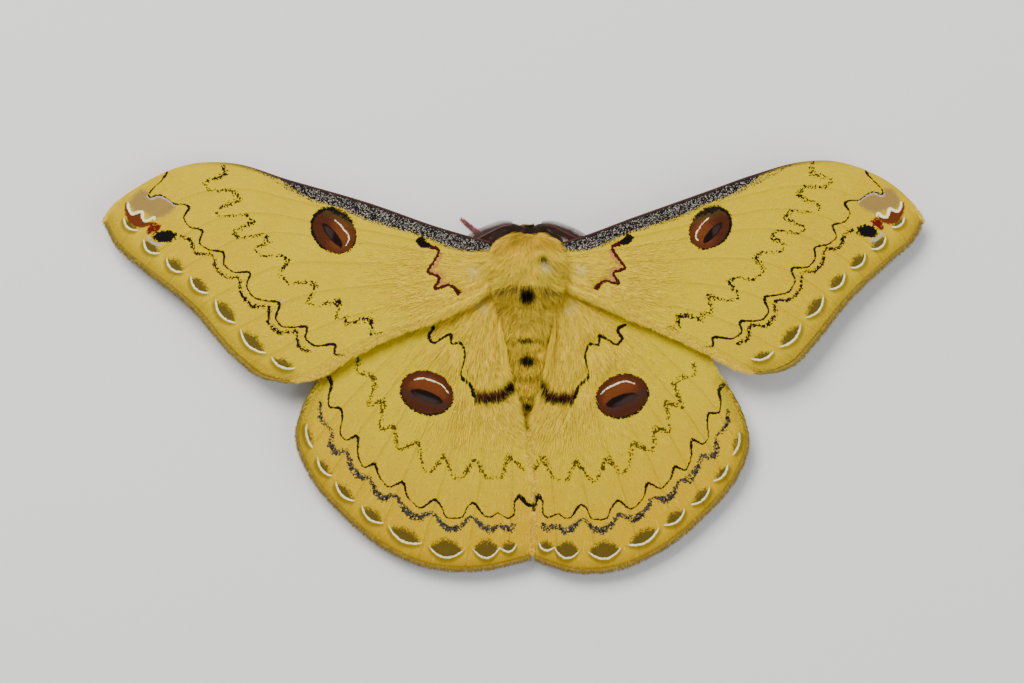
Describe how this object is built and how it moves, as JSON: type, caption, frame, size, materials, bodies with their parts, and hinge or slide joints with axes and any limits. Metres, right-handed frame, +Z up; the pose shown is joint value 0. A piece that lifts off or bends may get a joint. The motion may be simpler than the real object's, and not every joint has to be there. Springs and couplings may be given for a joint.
{
  "type": "yellow saturniid moth",
  "caption": "Life-size still model of a yellow saturniid moth resting flat with spread, eye-spotted wings, a furred body, feathered antennae and short legs.",
  "frame": {"origin": "middle of the bounding box in X and Y, on the floor plane that the feet and the abdomen's tip rest on", "axes": "+Y towards the head along the body, +X to the moth's right, +Z up"},
  "size_m": [0.0998, 0.0502, 0.0093],
  "materials": {
    "body_fur": "soft hair",
    "head_fur": "soft hair",
    "collar_fur": "soft hair",
    "wing": "matt scales",
    "antenna": "matt",
    "leg": "short hair",
    "eye": "glossy"
  },
  "bodies": {
    "root": {"head": "head_fur", "eye_left": "eye", "eye_right": "eye", "antenna_left": "antenna", "antenna_right": "antenna", "collar": "collar_fur", "thorax": "body_fur", "abdomen": "body_fur", "forewing_left": "wing", "forewing_right": "wing", "hindwing_left": "wing", "hindwing_right": "wing", "leg_front_left": "leg", "leg_front_right": "leg", "leg_middle_left": "leg", "leg_middle_right": "leg", "leg_rear_left": "leg", "leg_rear_right": "leg"}
  },
  "joints": []
}
